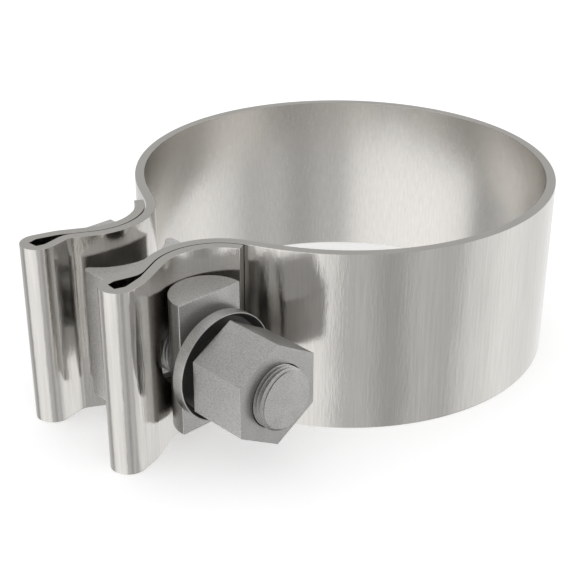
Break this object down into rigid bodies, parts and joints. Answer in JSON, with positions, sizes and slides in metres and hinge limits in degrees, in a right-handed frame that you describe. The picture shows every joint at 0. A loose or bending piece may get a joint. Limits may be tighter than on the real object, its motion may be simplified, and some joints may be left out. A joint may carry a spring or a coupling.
{
  "type": "exhaust clamp",
  "caption": "Flat band exhaust clamp: a folded steel strip wraps a pipe joint, and a bolt through its ears, with a waisted spacer between them, draws it tight.",
  "frame": {"origin": "on the pipe's axis, at the middle of the band's width", "axes": "+Z along the pipe, the ears point to -X, and the nut is on the -Y side"},
  "size_m": [0.0992, 0.0752, 0.0318],
  "materials": {
    "stainless_strip": "bright rolled stainless strip with a fine grain across its width and sheared grey edges",
    "plated_steel": "dull zinc-plated steel with a fine grain"
  },
  "bodies": {
    "clamp_body": {"band": "stainless_strip", "spacer": "plated_steel", "bolt": "plated_steel", "nut_bar": "plated_steel"},
    "washer_body": {"washer": "plated_steel"},
    "nut_body": {"nut": "plated_steel"}
  },
  "joints": [
    {"name": "nut_travel", "type": "slide", "parent": "clamp_body", "child": "washer_body", "axis": [0, -1, 0], "range_m": [0, 0.012]},
    {"name": "nut_turn", "type": "hinge", "parent": "washer_body", "child": "nut_body", "pos_m": [-0.04525, -0.025, 0], "axis": [0, -1, 0], "range_deg": [0, 5760]}
  ],
  "couplings": [
    {"joint": "nut_travel", "follows": "nut_turn", "m_per_rad": 0.00011937}
  ]
}
